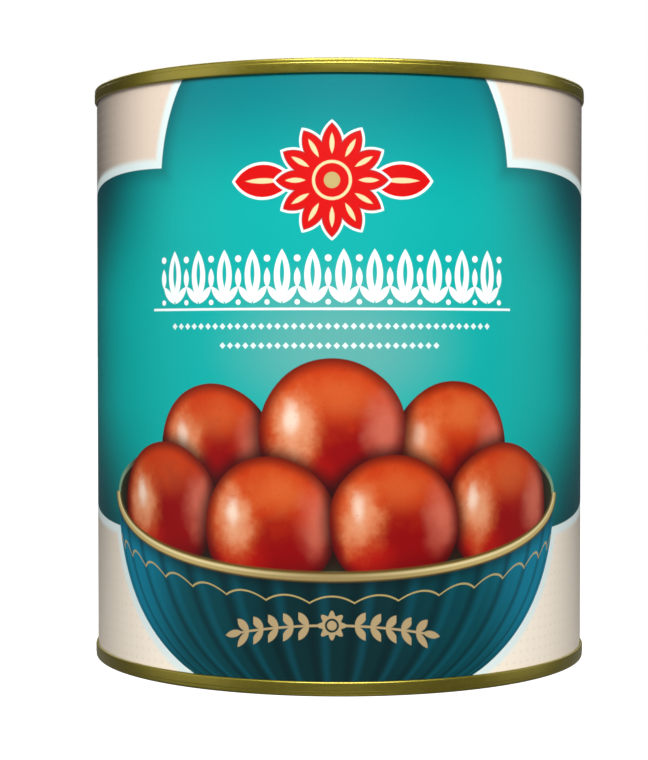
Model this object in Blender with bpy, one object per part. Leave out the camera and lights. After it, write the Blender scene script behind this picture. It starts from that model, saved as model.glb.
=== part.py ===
"""A sealed food can: a printed tinplate body, shut at each end by a double-seamed end of lacquered tinplate.

Metres, +Z up. The origin is on the can's axis, in the plane that the can stands on. The can is full and shut, so its
body is one solid from end to end. Both ends are the same part: the one below is the one above turned over.
"""

import math

import bpy

# The whole can
CAN_HEIGHT = 0.118
SEAM_DIAMETER = 0.1028
SEGMENTS = 64

# The double seam
SEAM_HEIGHT = 0.0028
SEAM_THICKNESS = 0.0013
SEAM_OVERHANG = 0.00045  # past the body wall
SEAM_TOP_ROUNDING = 0.0004
SEAM_FOOT_ROUNDING = 0.0004

# The end inside its seam, as depths below the seam's top
COUNTERSINK_DEPTH = 0.0045
PANEL_DEPTH = 0.0032
CENTRE_DEPTH = 0.0028
BEAD_DEPTH = 0.0039
UNDERSIDE_DEPTH = 0.0054

# The end inside its seam, as radii and widths
CHUCK_WALL_LEAN = 0.0004
COUNTERSINK_WIDTH = 0.0017
COUNTERSINK_ROUNDING = 0.0005
PANEL_STEP_WIDTH = 0.0007
CENTRE_RADIUS = 0.028
BEAD_RADII = (0.0335, 0.0395)
BEAD_WIDTH = 0.0026
BEAD_FLOOR_WIDTH = 0.001

# Fits
CLEARANCE = 0.0003
PLUG_INSET = 0.0006  # of the end's plug, inside the outside of the body wall
ROUNDING_STEPS = 2
MERGE_DISTANCE = 0.00001

SEAM_RADIUS = SEAM_DIAMETER / 2
BODY_RADIUS = SEAM_RADIUS - SEAM_OVERHANG
PLUG_RADIUS = BODY_RADIUS - PLUG_INSET
CHUCK_RADIUS = SEAM_RADIUS - SEAM_THICKNESS


def principled(name, colour, roughness, metallic):
    """A plain material of one colour."""
    material = bpy.data.materials.new(name)
    material.use_nodes = True
    shader = material.node_tree.nodes["Principled BSDF"]
    shader.inputs["Base Color"].default_value = (*colour, 1.0)
    shader.inputs["Roughness"].default_value = roughness
    shader.inputs["Metallic"].default_value = metallic
    return material


def rounded(corners):
    """The points of an outline whose corners are (radius, height, rounding), each rounded corner as an arc."""
    points = []
    for index, (x, z, rounding) in enumerate(corners):
        if not rounding:
            points.append((x, z))
            continue
        before = math.atan2(corners[index - 1][1] - z, corners[index - 1][0] - x)
        after = math.atan2(corners[index + 1][1] - z, corners[index + 1][0] - x)
        opening = (after - before + math.pi) % math.tau - math.pi
        bisector = before + opening / 2
        reach = rounding / math.sin(abs(opening) / 2)
        centre = (x + reach * math.cos(bisector), z + reach * math.sin(bisector))
        sweep = math.copysign(math.pi - abs(opening), -opening)
        for step in range(ROUNDING_STEPS + 1):
            angle = bisector + math.pi + sweep * (step / ROUNDING_STEPS - 0.5)
            points.append((centre[0] + rounding * math.cos(angle), centre[1] + rounding * math.sin(angle)))
    return points


def bead(radius):
    """The corners of one ring-shaped groove in the panel, from the inside out."""
    half, floor = BEAD_WIDTH / 2, BEAD_FLOOR_WIDTH / 2
    return [
        (radius - half, -PANEL_DEPTH, 0),
        (radius - floor, -BEAD_DEPTH, 0),
        (radius + floor, -BEAD_DEPTH, 0),
        (radius + half, -PANEL_DEPTH, 0),
    ]


def end_corners():
    """The half-section of an end, from the axis over the seam to the axis, with the seam's top at height 0."""
    chuck_foot = CHUCK_RADIUS - CHUCK_WALL_LEAN
    countersink_inner = chuck_foot - COUNTERSINK_WIDTH
    corners = [
        (0, -CENTRE_DEPTH, 0),
        (CENTRE_RADIUS, -CENTRE_DEPTH, 0),
        (CENTRE_RADIUS + PANEL_STEP_WIDTH, -PANEL_DEPTH, 0),
    ]
    for radius in BEAD_RADII:
        corners += bead(radius)
    corners += [
        (countersink_inner - PANEL_STEP_WIDTH, -PANEL_DEPTH, COUNTERSINK_ROUNDING),
        (countersink_inner, -COUNTERSINK_DEPTH, COUNTERSINK_ROUNDING),
        (chuck_foot, -COUNTERSINK_DEPTH, COUNTERSINK_ROUNDING),
        (CHUCK_RADIUS, 0, SEAM_TOP_ROUNDING),
        (SEAM_RADIUS, 0, SEAM_TOP_ROUNDING),
        (SEAM_RADIUS, -SEAM_HEIGHT, SEAM_FOOT_ROUNDING),
        (PLUG_RADIUS, -SEAM_HEIGHT, 0),
        (PLUG_RADIUS, -UNDERSIDE_DEPTH, 0),
        (0, -UNDERSIDE_DEPTH, 0),
    ]
    return corners


def body_corners():
    """The half-section of the full body, from the axis at the top to the axis at the bottom."""
    full = UNDERSIDE_DEPTH + CLEARANCE
    rim = SEAM_HEIGHT + CLEARANCE
    socket = PLUG_RADIUS + CLEARANCE
    top = [(0, full), (socket, full), (socket, rim), (BODY_RADIUS, rim)]
    above = [(radius, CAN_HEIGHT - depth, 0) for radius, depth in top]
    below = [(radius, depth, 0) for radius, depth in reversed(top)]
    return above + below


def turned(name, corners, material):
    """A closed round piece: its half-section turned about the Z axis."""
    points = rounded(corners)
    mesh = bpy.data.meshes.new(name)
    edges = [(index, index + 1) for index in range(len(points) - 1)]
    mesh.from_pydata([(x, 0, z) for x, z in points], edges, [])
    mesh.materials.append(material)
    piece = bpy.data.objects.new(name, mesh)
    bpy.context.collection.objects.link(piece)
    screw = piece.modifiers.new("turned", "SCREW")
    screw.angle = math.tau
    screw.steps = screw.render_steps = SEGMENTS
    screw.use_merge_vertices = True
    screw.merge_threshold = MERGE_DISTANCE
    screw.use_smooth_shade = True
    return piece


def build():
    for existing in list(bpy.data.objects):
        bpy.data.objects.remove(existing, do_unlink=True)
    printed = principled("printed tinplate", (0.01, 0.42, 0.39), 0.4, 0.0)
    gold = principled("gold lacquered tinplate", (0.42, 0.34, 0.07), 0.35, 1.0)
    turned("can_body", body_corners(), printed)
    top_end = turned("top_end", end_corners(), gold)
    top_end.location.z = CAN_HEIGHT
    bottom_end = turned("bottom_end", end_corners(), gold)
    bottom_end.rotation_euler.x = math.pi


build()
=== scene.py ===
"""The looks of a sealed food can: its printed tinplate wall, side weld and lacquered double-seamed ends.

The can stands on a pale floor in soft studio light. Sizes are in metres, and those of the print in millimetres along
the wall: u runs round from the middle of the face, and v runs up from the plane that the can stands on.
"""

import math

import bpy
from mathutils import Euler, Matrix, Vector


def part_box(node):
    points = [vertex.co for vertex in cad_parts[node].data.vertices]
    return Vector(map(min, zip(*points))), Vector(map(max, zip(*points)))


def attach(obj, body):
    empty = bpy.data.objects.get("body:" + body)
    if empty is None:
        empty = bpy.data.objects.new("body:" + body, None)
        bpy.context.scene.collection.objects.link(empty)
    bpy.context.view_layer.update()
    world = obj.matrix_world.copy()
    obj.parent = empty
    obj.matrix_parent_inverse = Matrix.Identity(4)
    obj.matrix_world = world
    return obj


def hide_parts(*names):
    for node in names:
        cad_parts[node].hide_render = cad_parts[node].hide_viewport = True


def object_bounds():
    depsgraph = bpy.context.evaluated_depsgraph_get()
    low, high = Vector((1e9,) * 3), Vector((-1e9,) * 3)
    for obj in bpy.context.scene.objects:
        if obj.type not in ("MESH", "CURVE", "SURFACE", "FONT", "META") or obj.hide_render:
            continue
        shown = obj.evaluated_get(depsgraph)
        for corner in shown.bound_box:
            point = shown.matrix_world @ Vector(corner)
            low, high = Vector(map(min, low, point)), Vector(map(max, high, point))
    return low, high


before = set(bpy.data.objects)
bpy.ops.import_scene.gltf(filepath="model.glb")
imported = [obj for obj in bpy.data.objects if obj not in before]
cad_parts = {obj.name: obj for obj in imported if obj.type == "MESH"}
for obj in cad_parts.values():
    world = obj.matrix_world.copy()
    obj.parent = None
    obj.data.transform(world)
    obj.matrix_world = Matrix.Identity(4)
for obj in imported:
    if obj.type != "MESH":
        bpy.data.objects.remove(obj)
CAD_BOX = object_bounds()

MM = 0.001
WALL_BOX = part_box("can_body")
END_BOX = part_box("top_end")

# The can, read from the parts in model.glb
TOP = CAD_BOX[1].z
SEAM_RADIUS = CAD_BOX[1].x
WALL_RADIUS = WALL_BOX[1].x
END_THICKNESS = TOP - END_BOX[0].z
SEGMENTS = 360

# The double seam and the end inside it
SEAM_HEIGHT = 2.8 * MM
SEAM_THICKNESS = 1.3 * MM
SEAM_ROUNDING = 0.5 * MM
SEAM_FOOT_ROUNDING = 0.35 * MM
ROLL_LINE_DEPTH = 0.9 * MM
ROLL_LINE_RELIEF = 0.04 * MM
COUNTERSINK_DEPTH = 4.5 * MM
COUNTERSINK_WIDTH = 1.7 * MM
CHUCK_WALL_LEAN = 0.4 * MM
PANEL_DEPTH = 3.2 * MM
PANEL_STEP = 0.7 * MM
CENTRE_DEPTH = 2.8 * MM
CENTRE_RADIUS = 28.0 * MM
BEAD_RADII = (33.5 * MM, 39.5 * MM)
BEAD_WIDTH = 2.6 * MM
BEAD_FLOOR = 1.0 * MM
BEAD_DEPTH = 3.9 * MM

# The wall and its weld
PLATE = 0.2 * MM
PLATE_PLAY = 0.03 * MM
HOOK = 0.6 * MM  # of the wall, up inside the seam
NECK_HEIGHT = 1.2 * MM
NECK_INSET = 0.12 * MM
WELD_TURN = math.radians(90)
WELD_MARGIN = 3.2 * MM  # of bare plate to each side of the weld
WELD_HALF_WIDTH = 0.45 * MM
WELD_HEIGHT = 0.1 * MM
CROSSING_DROOP = 0.22 * MM  # of the seam's foot, where it crosses the weld
CROSSING_HALF_WIDTH = 2.2 * MM

# The print
FACE = math.pi * WALL_RADIUS / MM  # width of each of the two equal faces
FACE_SHIFT = -1.3  # the front face is turned this far to the left
LIP_HEIGHT = 36.0
LIP_HALF_WIDTH = 51.3
LIP_DROP = 13.8
DISH_DROP = 39.5


def linear(value):
    """A colour channel from 0 to 255 in the shader's linear scale."""
    value /= 255
    return value / 12.92 if value <= 0.04045 else ((value + 0.055) / 1.055) ** 2.4


def ink(red, green, blue):
    return (linear(red), linear(green), linear(blue), 1.0)


WHITE_INK = ink(238, 247, 245)
EDGE_INK = ink(222, 237, 235)
CREAM_INK = ink(250, 238, 220)
CREAM_TOP_INK = ink(227, 208, 190)
CREAM_SHADE_INK = ink(214, 196, 172)
# painted shade: the cream where the wall turns away from the light
CREAM_SIDE_SHADE_INK = ink(130, 122, 114)
TEAL_INK = ink(2, 166, 160)
TEAL_GLOW_INK = ink(90, 168, 162)
TEAL_CROWN_INK = ink(1, 118, 126)
# painted shade: the teal where the wall turns away from the light
TEAL_SIDE_SHADE_INK = ink(6, 118, 122)
TEAL_SHADE_INK = ink(4, 66, 74)
DISH_INK = ink(3, 42, 46)
DISH_TURN_INK = ink(2, 72, 82)
DISH_SIDE_INK = ink(8, 118, 144)
DISH_INSIDE_INK = ink(42, 50, 30)
DISH_DARK_INK = ink(2, 22, 26)
GOLD_INK = ink(188, 166, 106)
GOLD_DULL_INK = ink(150, 130, 84)
GOLD_LIGHT_INK = ink(224, 208, 158)
GOLD_SHADE_INK = ink(96, 74, 30)
BACK_RIM_INK = ink(124, 158, 128)
GARLAND_INK = ink(172, 150, 110)
RED_INK = ink(206, 5, 5)
RED_SHADE_INK = ink(150, 2, 8)
SWEET_DEEP_INK = ink(136, 2, 5)
SWEET_RED_INK = ink(184, 24, 8)
SWEET_WARM_INK = ink(190, 54, 10)
SWEET_GLOW_INK = ink(212, 106, 50)
SWEET_LIGHT_INK = ink(224, 166, 128)
SWEET_GLINT_INK = ink(240, 216, 196)
SWEET_SHEEN_INK = ink(208, 112, 88)
SWEET_PORE_INK = ink(112, 14, 8)
SWEET_DARK_INK = ink(66, 3, 6)
SWEET_GAP_INK = ink(34, 8, 9)


# ---------------------------------------------------------------- numbers that vary over a surface


class Field:
    """A number that varies over a surface: an output in a node tree, with arithmetic that adds nodes."""

    def __init__(self, tree, socket):
        self.tree = tree
        self.socket = socket

    def math(self, operation, *others, clamp=False):
        node = self.tree.nodes.new("ShaderNodeMath")
        node.operation = operation
        node.use_clamp = clamp
        for slot, value in zip(node.inputs, (self, *others)):
            if isinstance(value, Field):
                self.tree.links.new(value.socket, slot)
            else:
                slot.default_value = value
        return Field(self.tree, node.outputs[0])

    def __add__(self, other):
        return self.math("ADD", other)

    __radd__ = __add__

    def __sub__(self, other):
        return self.math("SUBTRACT", other)

    def __rsub__(self, other):
        return self.math("MULTIPLY_ADD", -1.0, other)

    def __mul__(self, other):
        return self.math("MULTIPLY", other)

    __rmul__ = __mul__

    def __truediv__(self, other):
        return self.math("DIVIDE", other)

    def __abs__(self):
        return self.math("ABSOLUTE")

    def squared(self):
        return self.math("MULTIPLY", self)

    def root(self):
        return self.math("SQRT")

    def least(self, other):
        return self.math("MINIMUM", other)

    def most(self, other):
        return self.math("MAXIMUM", other)

    def clamped(self):
        return self.math("ADD", 0.0, clamp=True)

    def ramp(self, start, end):
        """0 at start, 1 at end, smooth between, and level beyond."""
        node = self.tree.nodes.new("ShaderNodeMapRange")
        node.interpolation_type = "SMOOTHSTEP"
        self.tree.links.new(self.socket, node.inputs["Value"])
        node.inputs["From Min"].default_value = start
        node.inputs["From Max"].default_value = end
        return Field(self.tree, node.outputs["Result"])


def length(x, y):
    return (x.squared() + y.squared()).root()


def circle(u, v, centre, radius):
    """Distance outside a circle."""
    return length(u - centre[0], v - centre[1]) - radius


def ellipse(u, v, centre, half_width, half_height):
    """Distance outside an ellipse, close to true near its edge."""
    x, y = u - centre[0], v - centre[1]
    reach = length(x / half_width, y / half_height)
    slope = length(x / half_width**2, y / half_height**2)
    return reach * (reach - 1.0) / slope


def leaf(x, y, half_length, half_width):
    """Distance outside a pointed leaf that stands along y."""
    radius = (half_length**2 + half_width**2) / (2 * half_width)
    return length(abs(x) + (radius - half_width), y) - radius


def turned_by(x, y, angle):
    """The same point seen from axes turned by that angle."""
    cosine, sine = math.cos(angle), math.sin(angle)
    return x * cosine + y * sine, y * cosine - x * sine


def repeated(x, spacing):
    """x measured from the nearest of an endless row of centres."""
    return x - (x / spacing).math("ROUND") * spacing


def in_row(x, spacing, count):
    """x measured from the nearest of a row of that many centres, with the row's middle at 0."""
    shift = (count - 1) / 2
    nearest = (x / spacing + shift).math("ROUND").most(0.0).least(count - 1.0)
    return x - (nearest - shift) * spacing


def inside(distance, blur=0.15):
    """1 within a shape and 0 outside it, given the distance outside."""
    return distance.math("MULTIPLY_ADD", -1.0 / blur, 0.5, clamp=True)


def along(distance, half_width, blur=0.15):
    """1 on a line drawn along a shape's edge."""
    return inside(abs(distance) - half_width, blur)


class Paint:
    """Colours laid over each other, each where its mask is 1."""

    def __init__(self, tree, colour):
        self.tree = tree
        self.colour = colour

    def lay(self, colour, mask):
        node = self.tree.nodes.new("ShaderNodeMix")
        node.data_type = "RGBA"
        sockets = {"Factor_Float": mask, "A_Color": self.colour, "B_Color": colour}
        for socket in node.inputs:
            value = sockets.get(socket.identifier)
            if isinstance(value, Field):
                self.tree.links.new(value.socket, socket)
            elif isinstance(value, bpy.types.NodeSocket):
                self.tree.links.new(value, socket)
            elif value is not None:
                socket.default_value = value
        self.colour = next(s for s in node.outputs if s.identifier == "Result_Color")


def noise(tree, vector, scale, detail=2.0, roughness=0.5):
    """Soft noise between 0 and 1."""
    node = tree.nodes.new("ShaderNodeTexNoise")
    node.inputs["Scale"].default_value = scale
    node.inputs["Detail"].default_value = detail
    node.inputs["Roughness"].default_value = roughness
    tree.links.new(vector, node.inputs["Vector"])
    return Field(tree, node.outputs["Fac"])


def object_place(tree, stretch=(1, 1, 1)):
    """The point's own place on the object, in metres, stretched along each axis."""
    place = tree.nodes.new("ShaderNodeTexCoord")
    mapping = tree.nodes.new("ShaderNodeMapping")
    mapping.inputs["Scale"].default_value = stretch
    tree.links.new(place.outputs["Object"], mapping.inputs["Vector"])
    return mapping.outputs["Vector"]


# ---------------------------------------------------------------- the print


def wall_place(tree):
    """u and v, in millimetres, at each point of the wall."""
    place = tree.nodes.new("ShaderNodeTexCoord")
    split = tree.nodes.new("ShaderNodeSeparateXYZ")
    tree.links.new(place.outputs["Object"], split.inputs["Vector"])
    x, y, z = (Field(tree, output) for output in split.outputs)
    around = x.math("ARCTAN2", y * -1.0) * (WALL_RADIUS / MM) - FACE_SHIFT
    return repeated(around, FACE), z / MM


def foot(u, v):
    """Distance outside the rounded foot of the field, which is the dish's hull too."""
    return ellipse(u, v, (0, LIP_HEIGHT), LIP_HALF_WIDTH, DISH_DROP)


def field_edge(u, v):
    """Distance outside the teal field: a crown, a belt that runs round the can and a rounded foot."""
    crown = circle(u, v, (0, 96), 36)
    belt = ellipse(abs(u), v, (42, 64), 70, 35)
    return crown.least(belt).least(foot(u, v))


def paint_ground(paint, u, v):
    """The teal field with its white edge, on cream, and painted shade towards the sides of each face and the field's
    edge.
    """
    edge = field_edge(u, v)
    side = abs(u)
    paint.lay(CREAM_TOP_INK, v.ramp(50, 105))
    # painted shade: the cream darkens towards the sides of each face, more near the top and on the left
    paint.lay(CREAM_SIDE_SHADE_INK, abs(u - 3.0).ramp(40, 72) * v.ramp(-40, 90))
    tile_u, tile_v = repeated(u, 4.0), repeated(v, 4.0)
    jali = along(circle(abs(tile_u), abs(tile_v), (1.0, 1.0), 1.35), 0.16, 0.3)
    paint.lay(CREAM_SHADE_INK, jali * 0.3)
    paint.lay(EDGE_INK, edge.ramp(2.5, 1.0))
    field = Paint(paint.tree, TEAL_INK)
    field.lay(TEAL_GLOW_INK, length((u - 1.5) / 30, (v - 65) / 18).ramp(1.0, 0.1))
    field.lay(TEAL_CROWN_INK, v.ramp(88, 118))
    # painted shade: the teal darkens towards the sides of each face, where the wall turns away from the light
    field.lay(TEAL_SIDE_SHADE_INK, side.ramp(46, 73))
    field.lay(TEAL_SHADE_INK, edge.ramp(-28, 0) * side.ramp(28, 60) * 0.92)
    field.lay(TEAL_SHADE_INK, edge.ramp(-4, 1) * 0.5)
    paint.lay(field.colour, inside(edge))


def paint_sweet(heap, skin, u, v, centre, radius, warmth, gleam):
    """One round, fried and syrup-glazed sweet; gives the distance outside it.

    Light from above warms its crown, and two tall windows shine in its syrup, the left one the brighter. skin is a
    pair of noises, coarse and fine, that mottle them.
    """
    blotch, pore = skin
    x, y = (u - centre[0]) / radius, (v - centre[1]) / radius
    reach = length(x, y)
    heap.lay(SWEET_GAP_INK, reach.ramp(1.25, 0.96) * 0.85)
    sweet = Paint(heap.tree, SWEET_DEEP_INK)
    sweet.lay(SWEET_WARM_INK, (y - x * 0.15 + blotch).ramp(-0.2 - warmth, 0.75 - warmth))
    sweet.lay(SWEET_RED_INK, length((x + 0.45) / 0.6, (y + 0.5) / 0.45).ramp(1.0, 0.2) * 0.6)
    crown = length((x - 0.12) / 0.62, (y - 0.5) / 0.42) + blotch + pore * 0.15
    sweet.lay(SWEET_GLOW_INK, crown.ramp(1.1, 0.1) * (0.4 + warmth))
    window = length((x + 0.52) / 0.44, (y - 0.08) / 0.7) + blotch + pore * 0.15
    sweet.lay(SWEET_GLOW_INK, window.ramp(1.15, 0.3) * 0.85)
    sweet.lay(SWEET_LIGHT_INK, window.ramp(0.85, 0.1) * gleam)
    sweet.lay(SWEET_GLINT_INK, (length((x + 0.55) / 0.15, (y - 0.2) / 0.3) + blotch).ramp(1.0, 0.1) * gleam)
    far_window = length((x - 0.72) / 0.36, (y - 0.08) / 0.62) + blotch
    sweet.lay(SWEET_SHEEN_INK, far_window.ramp(1.15, 0.1) * 0.7)
    sweet.lay(SWEET_PORE_INK, pore.ramp(0.12, 0.4) * 0.5)
    sweet.lay(SWEET_DARK_INK, reach.ramp(0.8, 1.02) * 0.8)
    sweet.lay(SWEET_DARK_INK, (y * -1.0 + x * 0.2).ramp(0.38, 1.05) * 0.85)
    distance = reach * radius - radius
    heap.lay(sweet.colour, inside(distance, 0.3))
    return distance


def paint_heap(paint, u, v, lip):
    """A heap of sweets, from the back row to the front, in the dark hollow of the dish."""
    place = object_place(paint.tree)
    skin = ((noise(paint.tree, place, 260, 2.0) - 0.5) * 0.7, noise(paint.tree, place, 1500, 3.0) - 0.5)
    u = u + (noise(paint.tree, place, 90, 0.0) - 0.5) * 1.2
    heap = Paint(paint.tree, DISH_INSIDE_INK)
    heap.lay(BACK_RIM_INK, inside(lip * -1.0 - 1.0, 0.3))
    heap.lay(DISH_INSIDE_INK, inside(lip + 1.1, 0.3))
    cover = lip
    back_row = ((-23.5, 45.5, 12.4, 0.0, 0.6), (23.5, 46.2, 12.2, 0.3, 0.35), (0.0, 48.7, 14.0, 0.1, 0.8))
    front_row = (
        (-35.0, 34.0, 12.6, -0.2, 0.75),
        (35.0, 33.8, 12.8, 0.0, 0.7),
        (-12.0, 31.4, 13.0, 0.2, 0.8),
        (11.8, 32.2, 12.6, 0.05, 0.65),
    )
    for place_u, place_v, radius, warmth, gleam in back_row + front_row:
        cover = cover.least(paint_sweet(heap, skin, u, v, (place_u, place_v), radius, warmth, gleam))
    paint.lay(heap.colour, inside(cover))


def paint_dish(paint, u, v, lip):
    """A deep, ribbed dish round the heap's foot, with a gilt lip, a scalloped line and a garland."""
    front = inside(v - LIP_HEIGHT, 0.3)
    half_width = (1.0 - ((v - LIP_HEIGHT) / DISH_DROP).squared()).most(0.02).root() * LIP_HALF_WIDTH
    turn = (u / half_width).most(-1.0).least(1.0).math("ARCSINE")
    half_rib = math.pi / 34
    rib = repeated(turn, 2 * half_rib) / half_rib
    body = Paint(paint.tree, DISH_INK)
    body.lay(DISH_TURN_INK, abs(u).ramp(6, 36))
    body.lay(DISH_SIDE_INK, abs(u).ramp(28, 45))
    body.lay(DISH_DARK_INK, abs(rib).ramp(0.55, 1.0) * 0.5)
    body.lay(DISH_SIDE_INK, abs(rib + 0.35).ramp(0.4, 0.0) * 0.15)
    body.lay(DISH_DARK_INK, lip.ramp(3.4, 0.6) * 0.6)
    body.lay(GOLD_INK, along(lip - rib.squared() * 1.3 - 3.6, 0.16) * 0.8)
    paint_garland(body, u, v)
    paint.lay(body.colour, inside(foot(u, v)) * front * (1.0 - inside(lip)))
    paint.lay(GOLD_SHADE_INK, along(lip, 1.0, 0.4) * front)
    gilt = Paint(paint.tree, GOLD_DULL_INK)
    gilt.lay(GOLD_INK, abs(u).ramp(4, 34))
    paint.lay(gilt.colour, along(lip - 0.1, 0.65, 0.3) * front)
    paint.lay(GOLD_LIGHT_INK, along(lip + 0.15, 0.2, 0.3) * front * abs(u).ramp(-6, 34))


def paint_garland(body, u, v):
    """A gilt stem of paired leaves to each side of a small flower."""
    along_stem = abs(u)
    rise = v - 13.2 + along_stem.squared() * 0.006
    body.lay(GARLAND_INK, inside(abs(rise) - 0.22) * inside(along_stem - 17.4))
    step = in_row(along_stem - 10.6, 2.9, 5)
    leaf_x, leaf_y = turned_by(step - 0.6, abs(rise) - 1.3, math.radians(-40))
    blade = leaf(leaf_x, leaf_y, 1.75, 0.72)
    end_x, end_y = turned_by(along_stem - 18.9, rise, math.radians(90))
    blade = blade.least(leaf(end_x, end_y, 1.7, 0.7))
    body.lay(GARLAND_INK, inside(blade))
    flower = length(along_stem, rise) - 2.3 - (along_stem.math("ARCTAN2", rise) * 8.0).math("COSINE") * 0.45
    body.lay(GARLAND_INK, inside(flower))
    body.lay(DISH_INK, along(length(along_stem, rise) - 1.1, 0.2))


def paint_rosette(paint, u, v):
    """A red flower with a gilt heart, between two leaves."""
    x, y = u, v - 95.5
    for side in (-1, 1):
        leaf_x, leaf_y = turned_by(x - side * 13.0, y, math.radians(90))
        blade = leaf(leaf_x, leaf_y, 5.6, 3.0)
        paint.lay(WHITE_INK, inside(blade - 0.5))
        paint.lay(RED_INK, inside(blade))
        paint.lay(GOLD_LIGHT_INK, inside(leaf(leaf_x, leaf_y, 3.4, 0.5)))
    petals = 12
    around = repeated(x.math("ARCTAN2", y), math.tau / petals)
    reach = length(x, y)
    across, out = around.math("SINE") * reach, around.math("COSINE") * reach
    petal = leaf(across, out - 6.4, 4.1, 1.9)
    flower = petal.least(reach - 6.0)
    paint.lay(WHITE_INK, inside(flower - 0.5))
    paint.lay(RED_INK, inside(flower))
    paint.lay(RED_SHADE_INK, along(petal, 0.12) * (1.0 - inside(reach - 3.4)) * 0.7)
    paint.lay(GOLD_LIGHT_INK, inside(leaf(across, out - 6.8, 1.9, 0.45)))
    paint.lay(GOLD_LIGHT_INK, along(reach - 3.4, 0.28))
    paint.lay(GOLD_INK, inside(reach - 1.5))


def paint_frieze(paint, u, v):
    """A white border of standing buds with leaves at their feet, over two lines of beads."""
    pitch, count = 5.75, 12
    x, y = u + 0.7, v - 77.5
    bud_x = in_row(x, pitch, count)
    bud = leaf(bud_x, y - 0.5, 4.9, 1.55)
    slit = leaf(bud_x, y - 1.0, 2.7, 0.42)
    leaf_x, leaf_y = turned_by(abs(bud_x) - 1.5, y + 3.0, math.radians(-40))
    sepal = leaf(leaf_x, leaf_y, 2.1, 0.7)
    between_x = in_row(x, pitch, count + 1)
    bead = circle(between_x, y, (0, 3.7), 0.62)
    drop = leaf(between_x, y - 0.1, 1.9, 0.6)
    dot = circle(between_x, y, (0, -4.4), 0.5)
    line = (abs(y + 5.7) - 0.22).most(abs(x) - pitch * (count + 1) / 2)
    shape = bud.most(slit * -1.0).least(sepal).least(bead).least(drop).least(dot).least(line)
    paint.lay(WHITE_INK, inside(shape))
    for height, seeds in ((68.6, 41), (65.0, 27)):
        seed = abs(in_row(x, 1.58, seeds)) + abs(v - height) - 0.62
        paint.lay(WHITE_INK, inside(seed) * 0.8)


def printed_colour(tree):
    """The whole print as one colour."""
    u, v = wall_place(tree)
    paint = Paint(tree, CREAM_INK)
    paint_ground(paint, u, v)
    lip = ellipse(u, v, (0, LIP_HEIGHT), LIP_HALF_WIDTH, LIP_DROP)
    paint_heap(paint, u, v, lip)
    paint_dish(paint, u, v, lip)
    paint_rosette(paint, u, v)
    paint_frieze(paint, u, v)
    return paint.colour


# ---------------------------------------------------------------- materials


def new_material(name):
    material = bpy.data.materials.new(name)
    material.use_nodes = True
    return material, material.node_tree, material.node_tree.nodes["Principled BSDF"]


def add_bump(tree, shader, height, depth):
    """Relief of that depth in metres, where height goes from 0 to 1."""
    bump = tree.nodes.new("ShaderNodeBump")
    bump.inputs["Distance"].default_value = depth
    tree.links.new(height.socket, bump.inputs["Height"])
    tree.links.new(bump.outputs["Normal"], shader.inputs["Normal"])


def printed_tinplate():
    """Inks on a white base coat, under a satin varnish."""
    material, tree, shader = new_material("printed_tinplate")
    tree.links.new(printed_colour(tree), shader.inputs["Base Color"])
    orange_peel = noise(tree, object_place(tree), 900, 2.0)
    tree.links.new((orange_peel * 0.1 + 0.4).socket, shader.inputs["Roughness"])
    shader.inputs["Specular IOR Level"].default_value = 0.15
    add_bump(tree, shader, orange_peel, 0.01 * MM)
    return material


def gold_lacquer():
    """Clear gold lacquer over bright tinplate, with the plate's fine rolled grain."""
    material, tree, shader = new_material("gold_lacquer")
    grain = noise(tree, object_place(tree, (60, 2600, 2600)), 1.0, 3.0)
    cloud = noise(tree, object_place(tree), 90, 3.0)
    lacquer = Paint(tree, (0.32, 0.27, 0.036, 1.0))
    lacquer.lay((0.26, 0.20, 0.018, 1.0), cloud.ramp(0.3, 0.8) * 0.4)
    lacquer.lay((0.40, 0.345, 0.072, 1.0), grain.ramp(0.5, 0.8) * 0.35)
    tree.links.new(lacquer.colour, shader.inputs["Base Color"])
    shader.inputs["Metallic"].default_value = 1.0
    tree.links.new((grain * 0.14 + cloud * 0.06 + 0.31).socket, shader.inputs["Roughness"])
    shader.inputs["Coat Weight"].default_value = 0.3
    shader.inputs["Coat Roughness"].default_value = 0.15
    add_bump(tree, shader, grain, 0.004 * MM)
    return material


def bare_tinplate():
    """The unprinted margin: bright tinplate, darkened along the weld, under a stripe of pale lacquer."""
    material, tree, shader = new_material("bare_tinplate")
    place = tree.nodes.new("ShaderNodeTexCoord")
    split = tree.nodes.new("ShaderNodeSeparateXYZ")
    tree.links.new(place.outputs["Object"], split.inputs["Vector"])
    x, y, z = (Field(tree, output) for output in split.outputs)
    beside = abs(x.math("ARCTAN2", y * -1.0) - WELD_TURN) * (WALL_RADIUS / MM)
    chatter = noise(tree, object_place(tree, (400, 400, 3000)), 1.0, 2.0)
    plate = Paint(tree, (0.68, 0.66, 0.61, 1.0))
    plate.lay((0.16, 0.15, 0.14, 1.0), (beside + chatter * 0.3).ramp(0.9, 0.45) * 0.8)
    tree.links.new(plate.colour, shader.inputs["Base Color"])
    shader.inputs["Metallic"].default_value = 1.0
    tree.links.new((chatter * 0.2 + 0.25).socket, shader.inputs["Roughness"])
    add_bump(tree, shader, chatter, 0.02 * MM)
    return material


# ---------------------------------------------------------------- the can's pieces


def rounded(corners, steps=7):
    """The points of an outline whose corners are (radius, height, rounding), each rounded corner as an arc."""
    points = []
    for index, (x, z, rounding) in enumerate(corners):
        if not rounding:
            points.append((x, z))
            continue
        before = math.atan2(corners[index - 1][1] - z, corners[index - 1][0] - x)
        after = math.atan2(corners[index + 1][1] - z, corners[index + 1][0] - x)
        opening = (after - before + math.pi) % math.tau - math.pi
        bisector = before + opening / 2
        reach = rounding / math.sin(abs(opening) / 2)
        centre = (x + reach * math.cos(bisector), z + reach * math.sin(bisector))
        sweep = math.copysign(math.pi - abs(opening), -opening)
        for step in range(steps + 1):
            angle = bisector + math.pi + sweep * (step / steps - 0.5)
            points.append((centre[0] + rounding * math.cos(angle), centre[1] + rounding * math.sin(angle)))
    return points


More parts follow.
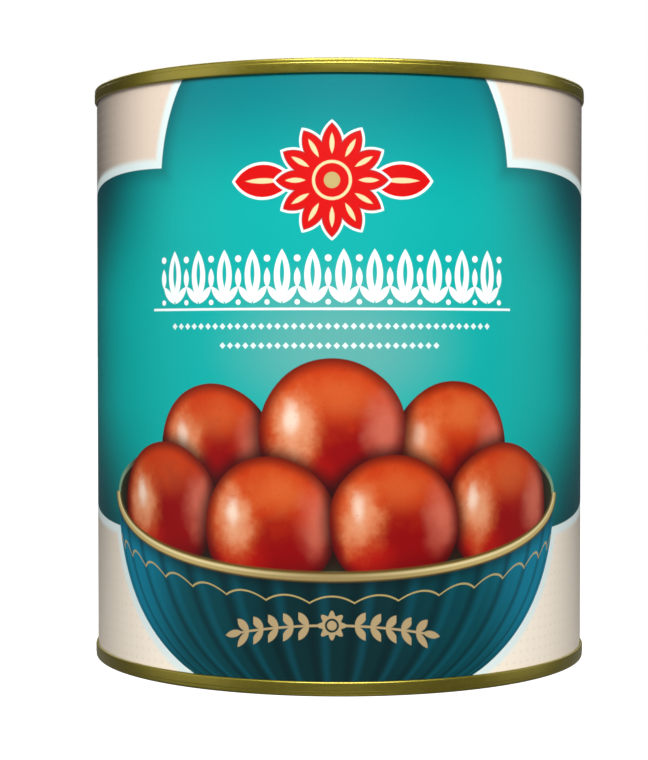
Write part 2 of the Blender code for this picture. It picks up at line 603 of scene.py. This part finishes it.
def turned_piece(name, section, angles, closed, relief=None):
    """A closed mesh: a section of (radius, height) points turned through the angles, measured from -Y towards +X.

    A full turn has a section from axis to axis, and a part turn has a closed section and flat ends. relief gives
    what to add to the radius and height at a point, from its angle, radius and height.
    """
    vertices, faces, rings = [], [], []
    for radius, height in section:
        ring = []
        for angle in angles if radius > 0 else angles[:1]:
            more_r, more_z = relief(angle, radius, height) if relief else (0, 0)
            ring.append(len(vertices))
            reach = radius + more_r
            vertices.append((reach * math.sin(angle), -reach * math.cos(angle), height + more_z))
        rings.append(ring)
    steps = len(angles) if closed else len(angles) - 1
    pairs = list(zip(rings, rings[1:] if closed else rings[1:] + rings[:1]))
    for upper, lower in pairs:
        for step in range(steps):
            after = (step + 1) % len(angles)
            corners = [upper[step % len(upper)], lower[step % len(lower)], lower[after % len(lower)], upper[after % len(upper)]]
            faces.append(list(dict.fromkeys(corners)))
    if not closed:
        faces.append([ring[0] for ring in reversed(rings)])
        faces.append([ring[-1] for ring in rings])
    mesh = bpy.data.meshes.new(name)
    mesh.from_pydata(vertices, [], faces)
    mesh.shade_smooth()
    mesh.set_sharp_from_angle(angle=math.radians(32))
    piece = bpy.data.objects.new(name, mesh)
    bpy.context.scene.collection.objects.link(piece)
    return piece


def full_turn():
    return [math.tau * step / SEGMENTS for step in range(SEGMENTS)]


def beside_weld(angle):
    """How far a place on the wall is from the weld, along the wall."""
    return WALL_RADIUS * abs((angle - WELD_TURN + math.pi) % math.tau - math.pi)


def bead(radius):
    """The corners of one ring-shaped groove in the panel."""
    half, floor = BEAD_WIDTH / 2, BEAD_FLOOR / 2
    return [
        (radius - half, -PANEL_DEPTH, 0.9 * MM),
        (radius - floor, -BEAD_DEPTH, 0.6 * MM),
        (radius + floor, -BEAD_DEPTH, 0.6 * MM),
        (radius + half, -PANEL_DEPTH, 0.9 * MM),
    ]


def end_section():
    """The half-section of an end, from the axis over the seam to the axis, with the seam's top at height 0."""
    chuck_radius = SEAM_RADIUS - SEAM_THICKNESS
    chuck_foot = chuck_radius - CHUCK_WALL_LEAN
    sink = chuck_foot - COUNTERSINK_WIDTH
    slot_top = HOOK + PLATE_PLAY - SEAM_HEIGHT
    inner = WALL_RADIUS - NECK_INSET - PLATE - PLATE_PLAY
    corners = [
        (0, -CENTRE_DEPTH, 0),
        (CENTRE_RADIUS, -CENTRE_DEPTH, 1.0 * MM),
        (CENTRE_RADIUS + PANEL_STEP, -PANEL_DEPTH, 1.0 * MM),
    ]
    for radius in BEAD_RADII:
        corners += bead(radius)
    corners += [
        (sink - PANEL_STEP, -PANEL_DEPTH, 0.6 * MM),
        (sink, -COUNTERSINK_DEPTH, 0.5 * MM),
        (chuck_foot, -COUNTERSINK_DEPTH, 0.5 * MM),
        (chuck_radius, 0, SEAM_ROUNDING),
        (SEAM_RADIUS - ROLL_LINE_RELIEF, 0, SEAM_ROUNDING),
        (SEAM_RADIUS - ROLL_LINE_RELIEF, -ROLL_LINE_DEPTH, 0.2 * MM),
        (SEAM_RADIUS, -ROLL_LINE_DEPTH - 3 * ROLL_LINE_RELIEF, 0.2 * MM),
        (SEAM_RADIUS, -SEAM_HEIGHT, SEAM_FOOT_ROUNDING),
        (WALL_RADIUS + PLATE_PLAY, -SEAM_HEIGHT, 0),
        (WALL_RADIUS - NECK_INSET + PLATE_PLAY, slot_top, 0),
        (inner, slot_top, 0),
        (inner, -END_THICKNESS, 0),
        (0, -END_THICKNESS, 0),
    ]
    return rounded(corners)


def crossing_relief(angle, radius, height):
    """The seam's foot hangs lower where the thicker weld runs into it."""
    if radius < WALL_RADIUS or height > -SEAM_HEIGHT / 2:
        return 0, 0
    share = (-height - SEAM_HEIGHT / 2) / (SEAM_HEIGHT / 2)
    return 0, -CROSSING_DROOP * share * math.exp(-((beside_weld(angle) / CROSSING_HALF_WIDTH) ** 2))


def weld_relief(angle, radius, height):
    """The mashed overlap stands a little proud of the wall."""
    return WELD_HEIGHT * math.exp(-((beside_weld(angle) / WELD_HALF_WIDTH) ** 4)), 0


def wall_section():
    """The closed section of the wall: outside from the top down, then inside from the bottom up."""
    top = TOP - SEAM_HEIGHT + HOOK
    shoulder = TOP - SEAM_HEIGHT
    neck = WALL_RADIUS - NECK_INSET
    outside = [(neck, top), (neck, shoulder), (WALL_RADIUS, shoulder - NECK_HEIGHT)]
    outside += [(radius, TOP - height) for radius, height in reversed(outside)]
    return outside + [(radius - PLATE, height) for radius, height in reversed(outside)]


def unroll(piece):
    """A map for baking the wall: each half of the wall unrolled flat, the front half above the back half."""
    layer = piece.data.uv_layers.new(name="OFBake")
    for face in piece.data.polygons:
        middle = face.center
        front = middle.y < 0
        for loop in face.loop_indices:
            x, y, z = piece.data.vertices[piece.data.loops[loop].vertex_index].co
            angle = math.atan2(x, -y) if front else math.atan2(-x, y)
            across = angle / math.pi + 0.5
            layer.data[loop].uv = (0.01 + 0.98 * across, 0.005 + 0.49 * (z / TOP) + (0.5 if front else 0.0))


def make_wall(material):
    """The printed wall, all the way round but for the bare margins beside the weld."""
    margin = WELD_MARGIN / WALL_RADIUS
    start, end = WELD_TURN + margin - math.tau, WELD_TURN - margin
    angles = [start + (end - start) * step / SEGMENTS for step in range(SEGMENTS + 1)]
    wall = turned_piece("printed_wall", wall_section(), angles, closed=False)
    wall.data.materials.append(material)
    unroll(wall)
    return wall


def make_weld(material):
    """The strip of bare plate with the weld along its middle."""
    margin = WELD_MARGIN / WALL_RADIUS
    steps = 48
    angles = [WELD_TURN + margin * (2 * step / steps - 1) for step in range(steps + 1)]
    weld = turned_piece("side_weld", wall_section(), angles, closed=False, relief=weld_relief)
    weld.data.materials.append(material)
    return weld


def make_end(name, material):
    end = turned_piece(name, end_section(), full_turn(), closed=True, relief=crossing_relief)
    end.data.materials.append(material)
    return end


# ---------------------------------------------------------------- studio and camera


def aim(thing, target):
    thing.rotation_euler = (target - thing.location).to_track_quat("-Z", "Y").to_euler()


def add_softbox(name, azimuth, elevation, distance, width, height, power):
    """A soft light aimed at the middle of the can. Azimuth 0 is the camera's side, and 90 the can's right."""
    light = bpy.data.lights.new(name, "AREA")
    light.shape = "RECTANGLE"
    light.size, light.size_y = width, height
    light.energy = power
    lamp = bpy.data.objects.new(name, light)
    bpy.context.scene.collection.objects.link(lamp)
    turn, rise = math.radians(azimuth), math.radians(elevation)
    direction = Vector((math.sin(turn) * math.cos(rise), -math.cos(turn) * math.cos(rise), math.sin(rise)))
    middle = Vector((0, 0, TOP / 2))
    lamp.location = middle + distance * direction
    aim(lamp, middle)
    lamp.visible_camera = False
    return lamp


def add_floor():
    """A glossy white floor that is pure white to the camera and dimmer in the can's reflections."""
    mesh = bpy.data.meshes.new("studio_floor")
    reach = 6.0
    mesh.from_pydata([(-reach, -reach, 0), (reach, -reach, 0), (reach, reach, 0), (-reach, reach, 0)], [], [(0, 1, 2, 3)])
    floor = bpy.data.objects.new("studio_floor", mesh)
    bpy.context.scene.collection.objects.link(floor)
    floor.location.z = CAD_BOX[0].z
    material, tree, shader = new_material("studio_floor")
    shader.inputs["Base Color"].default_value = (0.12, 0.12, 0.12, 1)
    shader.inputs["Roughness"].default_value = 0.3
    shader.inputs["Specular IOR Level"].default_value = 0.9
    glow = tree.nodes.new("ShaderNodeEmission")
    glow.inputs["Strength"].default_value = 1.1
    both = tree.nodes.new("ShaderNodeAddShader")
    tree.links.new(shader.outputs[0], both.inputs[0])
    tree.links.new(glow.outputs[0], both.inputs[1])
    pick = tree.nodes.new("ShaderNodeMixShader")
    path = tree.nodes.new("ShaderNodeLightPath")
    tree.links.new(path.outputs["Is Camera Ray"], pick.inputs[0])
    tree.links.new(shader.outputs[0], pick.inputs[1])
    tree.links.new(both.outputs[0], pick.inputs[2])
    tree.links.new(pick.outputs[0], tree.nodes["Material Output"].inputs["Surface"])
    mesh.materials.append(material)


def set_world():
    """White behind the can, and a dim room in its reflections."""
    world = bpy.data.worlds.new("studio")
    bpy.context.scene.world = world
    world.use_nodes = True
    tree = world.node_tree
    room = tree.nodes["Background"]
    room.inputs["Color"].default_value = (0.04, 0.04, 0.04, 1)
    backdrop = tree.nodes.new("ShaderNodeBackground")
    backdrop.inputs["Color"].default_value = (1, 1, 1, 1)
    pick = tree.nodes.new("ShaderNodeMixShader")
    path = tree.nodes.new("ShaderNodeLightPath")
    tree.links.new(path.outputs["Is Camera Ray"], pick.inputs[0])
    tree.links.new(room.outputs[0], pick.inputs[1])
    tree.links.new(backdrop.outputs[0], pick.inputs[2])
    tree.links.new(pick.outputs[0], tree.nodes["World Output"].inputs["Surface"])


def add_lights():
    """One wide box in front and above, tall ones low at the sides, and weaker ones overhead and behind."""
    add_softbox("key", 3, 46, 1.4, 1.0, 0.5, 32.0)
    add_softbox("side_left", -70, 10, 1.0, 0.8, 0.9, 2.9)
    add_softbox("side_right", 88, 10, 1.0, 0.65, 0.9, 2.1)
    add_softbox("top", 0, 88, 1.0, 0.5, 0.5, 1.6)
    add_softbox("back_left", -158, 38, 1.2, 0.9, 0.8, 5.5)
    add_softbox("back_right", 158, 38, 1.2, 0.9, 0.8, 5.5)


def add_camera():
    """The photograph's viewpoint: level with the middle of the can, and close enough to curve its seams."""
    data = bpy.data.cameras.new("camera")
    data.lens = 85.15
    camera = bpy.data.objects.new("camera", data)
    bpy.context.scene.collection.objects.link(camera)
    camera.location = (0, -0.3825, 0.0663)
    camera.rotation_euler = Euler((math.radians(90 - 1.318), 0, math.radians(0.478)))
    bpy.context.scene.camera = camera


def main():
    bpy.context.scene.view_settings.view_transform = "Standard"
    gold = gold_lacquer()
    wall = make_wall(printed_tinplate())
    weld = make_weld(bare_tinplate())
    top_end = make_end("upper_end", gold)
    top_end.data.transform(Matrix.Translation((0, 0, TOP)))
    bottom_end = make_end("lower_end", gold)
    bottom_end.data.transform(Matrix.Rotation(math.pi, 4, "Y"))
    for piece, node, slot in (
        (wall, "can_body", "printed_tinplate"),
        (weld, "can_body", "printed_tinplate"),
        (top_end, "top_end", "gold_lacquer"),
        (bottom_end, "bottom_end", "gold_lacquer"),
    ):
        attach(piece, "root")
        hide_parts(node)
    add_floor()
    set_world()
    add_lights()
    add_camera()


main()
